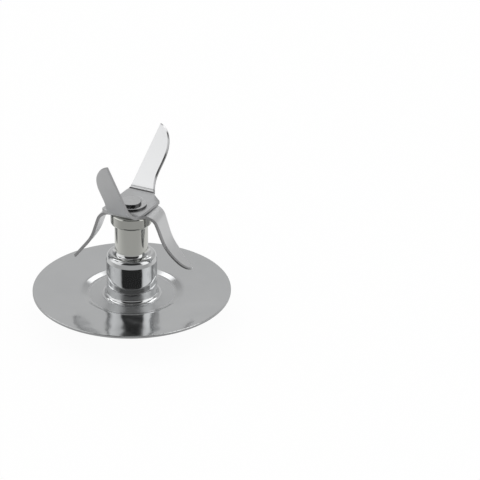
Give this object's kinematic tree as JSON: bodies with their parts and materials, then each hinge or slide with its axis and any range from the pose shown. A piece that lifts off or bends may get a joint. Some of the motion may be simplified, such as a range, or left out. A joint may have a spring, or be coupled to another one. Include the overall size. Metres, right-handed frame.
{
  "type": "blender blade assembly",
  "caption": "Crossed folded cutting blades on a shaft that runs in a chromed bearing housing on a round pressed plate, with a square drive end below, for the base of a blender jar.",
  "frame": {"origin": "on the shaft axis, level with the flat seat under the plate's rim", "axes": "+Z along the shaft towards the blades, +X along the lower blade strip"},
  "size_m": [0.066, 0.066, 0.0636],
  "materials": {
    "polished_stainless": "pressed stainless sheet, polished to a soft mirror",
    "chromed_housing": "turned steel, bright chrome plate",
    "chromed_collar": "turned steel, bright chrome plate",
    "blade_stainless": "stamped stainless sheet, tumbled satin, honed edges",
    "clamp_stainless": "stamped stainless washer, tumbled",
    "shaft_steel": "ground stainless bar, milled square, peened head",
    "washer_steel": "stamped and tumbled steel",
    "sintered_bronze": "porous sintered bronze, oiled",
    "oiled_felt": "wool felt, soaked in oil",
    "seal_rubber": "moulded black rubber",
    "red_fibre": "vulcanised fibre sheet"
  },
  "bodies": {
    "base": {"base_plate": "polished_stainless", "bearing_housing": "chromed_housing", "backing_washer": "washer_steel", "lower_bush": "sintered_bronze", "upper_bush": "sintered_bronze", "oil_felt": "oiled_felt", "shaft_seal": "seal_rubber"},
    "rotor": {"drive_shaft": "shaft_steel", "steel_thrust_washer": "washer_steel", "fibre_thrust_washer": "red_fibre", "top_thrust_washer": "red_fibre", "collar": "chromed_collar", "lower_blade": "blade_stainless", "blade_spacer": "washer_steel", "upper_blade": "blade_stainless", "clamp_washer": "clamp_stainless"}
  },
  "joints": [
    {"name": "blade_spin", "type": "hinge", "parent": "base", "child": "rotor", "pos_m": [0, 0, 0], "axis": [0, 0, 1], "continuous": true}
  ]
}
